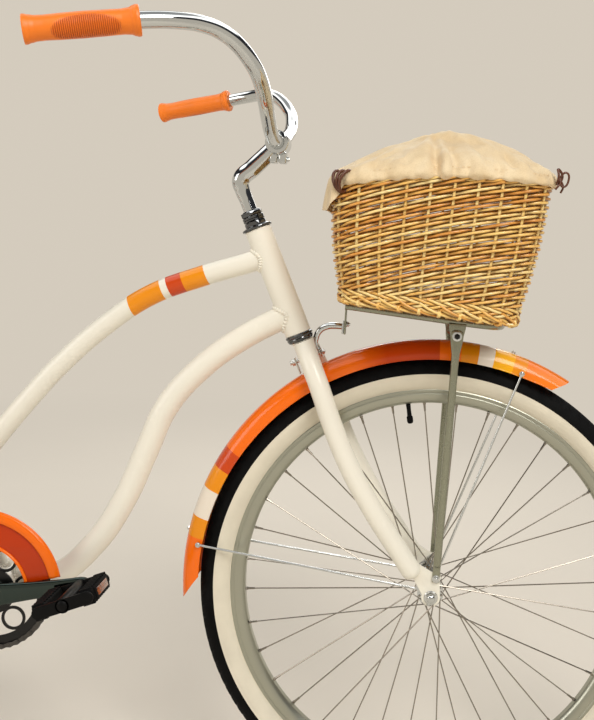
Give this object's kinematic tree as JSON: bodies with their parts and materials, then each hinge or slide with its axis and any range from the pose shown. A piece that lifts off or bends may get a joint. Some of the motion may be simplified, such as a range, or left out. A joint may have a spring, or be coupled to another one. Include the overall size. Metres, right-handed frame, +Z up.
{
  "type": "step-through cruiser bicycle",
  "caption": "Step-through cruiser bicycle with curved twin main tubes, swept handlebar, covered wicker front basket on a strutted rack, fenders, chain guard and sprung saddle.",
  "frame": {"origin": "on the ground, under the centre of the bounding box; the wheels lie in the plane y = 0", "axes": "+X forward along the wheelbase, +Y to the rider's left, +Z up"},
  "size_m": [1.9222, 0.7446, 1.1829],
  "materials": {
    "head_tube": "gloss",
    "top_tube": "gloss",
    "down_tube": "gloss",
    "seat_tube": "gloss",
    "bb_shell": "gloss",
    "rear_stay_right": "gloss",
    "rear_stay_left": "gloss",
    "bb_bearing_right": "polished",
    "bb_bearing_left": "polished",
    "headset_lower_cup": "polished",
    "headset_lower_bearing": "satin",
    "headset_upper_cup": "polished",
    "rear_axle": "polished",
    "brake_arm": "polished",
    "chain": "satin",
    "chain_guard": "gloss",
    "rear_fender": "gloss",
    "rear_fender_stay_right": "polished",
    "rear_fender_stay_left": "polished",
    "seat_clamp": "polished",
    "side_stand_bracket": "satin",
    "headset_cone": "polished",
    "headset_locknut": "polished",
    "fork_steerer": "gloss",
    "fork_blade_right": "gloss",
    "fork_blade_left": "gloss",
    "rack_strut_right": "satin",
    "rack_strut_left": "satin",
    "grip_right": "matte",
    "grip_left": "matte",
    "crown_bolt": "polished",
    "rack_hook": "polished",
    "front_axle": "polished",
    "front_fender": "gloss",
    "front_fender_stay_right": "polished",
    "front_fender_stay_left": "polished",
    "stem": "polished",
    "handlebar": "polished",
    "front_rack": "satin",
    "basket": "satin",
    "basket_liner": "matte",
    "front_tyre": "matte",
    "front_inner_tube": "matte",
    "front_rim": "satin",
    "front_hub_spokes": "satin",
    "rear_tyre": "matte",
    "rear_inner_tube": "matte",
    "rear_rim": "satin",
    "rear_hub_spokes": "satin",
    "rear_cog": "satin",
    "crank": "polished",
    "chainring": "satin",
    "pedal_right": "matte",
    "pedal_left": "matte",
    "seatpost": "polished",
    "saddle_rails": "satin",
    "saddle": "satin",
    "saddle_spring_right": "polished",
    "saddle_spring_left": "polished",
    "side_stand": "polished"
  },
  "bodies": {
    "frame": {"head_tube": "head_tube", "top_tube": "top_tube", "down_tube": "down_tube", "seat_tube": "seat_tube", "bb_shell": "bb_shell", "rear_stay_right": "rear_stay_right", "rear_stay_left": "rear_stay_left", "bb_bearing_right": "bb_bearing_right", "bb_bearing_left": "bb_bearing_left", "headset_lower_cup": "headset_lower_cup", "headset_lower_bearing": "headset_lower_bearing", "headset_upper_cup": "headset_upper_cup", "rear_axle": "rear_axle", "brake_arm": "brake_arm", "chain": "chain", "chain_guard": "chain_guard", "rear_fender": "rear_fender", "rear_fender_stay_right": "rear_fender_stay_right", "rear_fender_stay_left": "rear_fender_stay_left", "seat_clamp": "seat_clamp", "side_stand_bracket": "side_stand_bracket"},
    "fork": {"headset_cone": "headset_cone", "headset_locknut": "headset_locknut", "fork_steerer": "fork_steerer", "fork_blade_right": "fork_blade_right", "fork_blade_left": "fork_blade_left", "rack_strut_right": "rack_strut_right", "rack_strut_left": "rack_strut_left", "grip_right": "grip_right", "grip_left": "grip_left", "crown_bolt": "crown_bolt", "rack_hook": "rack_hook", "front_axle": "front_axle", "front_fender": "front_fender", "front_fender_stay_right": "front_fender_stay_right", "front_fender_stay_left": "front_fender_stay_left", "stem": "stem", "handlebar": "handlebar", "front_rack": "front_rack", "basket": "basket", "basket_liner": "basket_liner"},
    "front_wheel": {"front_tyre": "front_tyre", "front_inner_tube": "front_inner_tube", "front_rim": "front_rim", "front_hub_spokes": "front_hub_spokes"},
    "rear_wheel": {"rear_tyre": "rear_tyre", "rear_inner_tube": "rear_inner_tube", "rear_rim": "rear_rim", "rear_hub_spokes": "rear_hub_spokes"},
    "driver": {"rear_cog": "rear_cog"},
    "crank": {"crank": "crank", "chainring": "chainring"},
    "pedal_right": {"pedal_right": "pedal_right"},
    "pedal_left": {"pedal_left": "pedal_left"},
    "seat": {"seatpost": "seatpost", "saddle_rails": "saddle_rails", "saddle": "saddle", "saddle_spring_right": "saddle_spring_right", "saddle_spring_left": "saddle_spring_left"},
    "side_stand": {"side_stand": "side_stand"}
  },
  "joints": [
    {"name": "steering", "type": "hinge", "parent": "frame", "child": "fork", "pos_m": [0.35971, 0, 0.75745], "axis": [-0.4202, 0, 0.9074], "range_deg": [-70, 70]},
    {"name": "front_wheel_spin", "type": "hinge", "parent": "fork", "child": "front_wheel", "pos_m": [0.59388, 0, 0.36722], "axis": [0, 1, 0], "continuous": true},
    {"name": "rear_wheel_spin", "type": "hinge", "parent": "frame", "child": "rear_wheel", "pos_m": [-0.5651, 0, 0.36722], "axis": [0, 1, 0], "continuous": true},
    {"name": "crank_spin", "type": "hinge", "parent": "frame", "child": "crank", "pos_m": [-0.09382, 0, 0.32322], "axis": [0, 1, 0], "continuous": true, "deforming": ["chain"]},
    {"name": "driver_spin", "type": "hinge", "parent": "frame", "child": "driver", "pos_m": [-0.5651, 0, 0.36722], "axis": [0, 1, 0], "continuous": true},
    {"name": "pedal_right_spin", "type": "hinge", "parent": "crank", "child": "pedal_right", "pos_m": [0.05539, 0, 0.35223], "axis": [0, 1, 0], "continuous": true},
    {"name": "pedal_left_spin", "type": "hinge", "parent": "crank", "child": "pedal_left", "pos_m": [-0.24303, 0, 0.29422], "axis": [0, 1, 0], "continuous": true},
    {"name": "seat_height", "type": "slide", "parent": "frame", "child": "seat", "axis": [-0.3907, 0, 0.9205], "range_m": [0, 0.08]},
    {"name": "side_stand_fold", "type": "hinge", "parent": "frame", "child": "side_stand", "pos_m": [-0.4651, 0.076, 0.34122], "axis": [-0.0692, 0.9952, 0.0692], "range_deg": [0, 90]}
  ],
  "couplings": [
    {"joint": "driver_spin", "follows": "crank_spin", "ratio": 2.4444}
  ]
}
